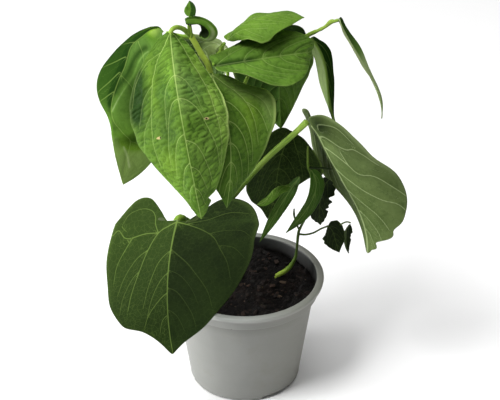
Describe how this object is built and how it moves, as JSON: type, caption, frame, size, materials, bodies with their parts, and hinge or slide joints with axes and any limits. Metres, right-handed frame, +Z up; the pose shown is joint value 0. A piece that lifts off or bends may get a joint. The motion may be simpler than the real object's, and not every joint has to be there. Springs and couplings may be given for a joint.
{
  "type": "potted climbing bean plant",
  "caption": "Young climbing bean plant with heart-shaped first leaves and three-part upper leaves, growing in soil in a plastic nursery pot that rests on a flat surface.",
  "frame": {"origin": "centre of the underside of the pot, on the surface that it stands on", "axes": "+Z up, the side of the plant seen in the picture faces -Y, +X to the right of it"},
  "size_m": [0.2175, 0.1646, 0.3171],
  "materials": {
    "pot": "pale grey injection-moulded plastic, slightly soft sheen",
    "soil": "dark moist potting mix with bark chips",
    "stem": "fresh yellow-green stalk, finely hairy",
    "fresh_leaf": "thin fresh leaf with sunken veins, soft sheen",
    "old_leaf": "dull dark leaf with paler veins"
  },
  "bodies": {
    "root": {"pot": "pot", "main_stem": "stem", "stalk_first_leaf_right": "stem", "stalk_first_leaf_left": "stem", "stalk_front_leaf": "stem", "stalk_front_leaf_left_leaflet": "stem", "stalk_upper_leaf": "stem", "stalk_side_leaf": "stem", "side_stem": "stem", "stalk_upper_leaf_right_leaflet": "stem", "tip_stalk_bud": "stem", "tip_curled_leaf": "stem", "side_twig_bud": "stem", "side_twig_low": "stem", "side_twig_high": "stem", "side_twig_arc": "stem", "soil": "soil", "front_leaf_end_leaflet": "fresh_leaf", "front_leaf_left_leaflet": "fresh_leaf", "front_leaf_right_leaflet": "fresh_leaf", "first_leaf_left": "old_leaf", "first_leaf_right": "old_leaf", "upper_leaf_end_leaflet": "fresh_leaf", "upper_leaf_right_leaflet": "fresh_leaf", "upper_leaf_left_leaflet": "fresh_leaf", "side_leaf_left_leaflet": "old_leaf", "side_leaf_right_leaflet": "old_leaf", "side_leaf_end_leaflet": "fresh_leaf", "shade_leaf_large": "old_leaf", "shade_leaf_left_leaflet": "fresh_leaf", "shade_leaf_right_leaflet": "fresh_leaf", "shade_leaf_end_leaflet": "fresh_leaf", "side_shoot_dark_leaf": "old_leaf", "side_shoot_heart_leaf": "old_leaf", "side_shoot_edge_leaf": "old_leaf", "tip_bud_leaf": "fresh_leaf"}
  },
  "joints": []
}
